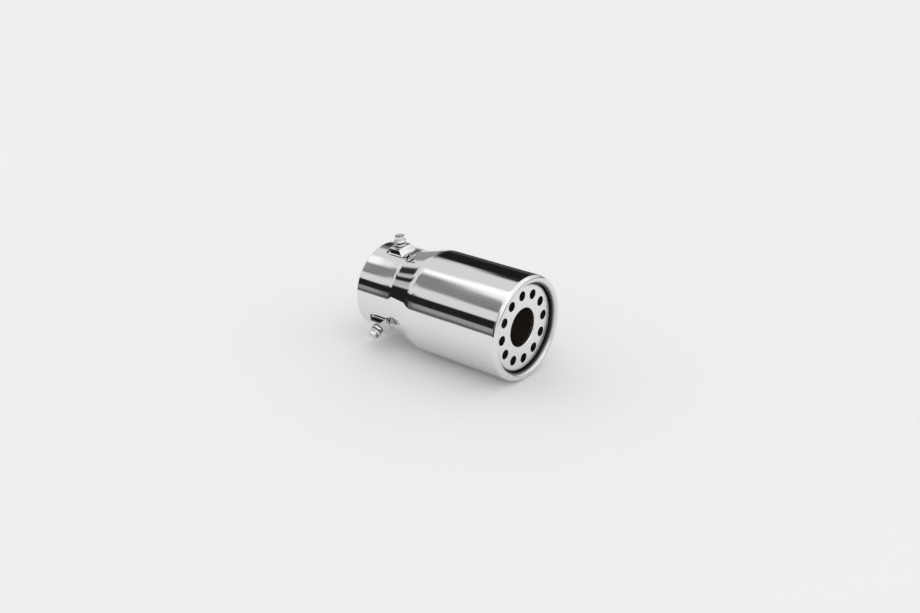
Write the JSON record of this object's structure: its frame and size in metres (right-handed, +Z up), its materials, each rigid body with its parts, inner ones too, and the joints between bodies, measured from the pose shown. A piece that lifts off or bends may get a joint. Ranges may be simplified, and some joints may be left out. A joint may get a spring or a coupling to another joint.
{
  "type": "exhaust tip",
  "caption": "Polished round exhaust tip with a clamp sleeve at the inlet, a flared neck, a wider body with a rolled lip, and a recessed outlet plate with a ring of holes around a large centre hole.",
  "frame": {"origin": "centre of the inlet mouth, on the tip's axis", "axes": "+X along the tip from the inlet to the outlet, +Z up"},
  "size_m": [0.154, 0.0928, 0.0959],
  "materials": {
    "polished_shell": "mirror polished stainless steel",
    "satin_plate": "fine satin stainless steel",
    "plated_fasteners": "bright zinc plate"
  },
  "bodies": {
    "root": {"tip_shell": "polished_shell", "outlet_plate": "satin_plate", "clamp_bolts": "plated_fasteners", "lock_nuts": "plated_fasteners", "captive_nuts": "plated_fasteners"}
  },
  "joints": []
}
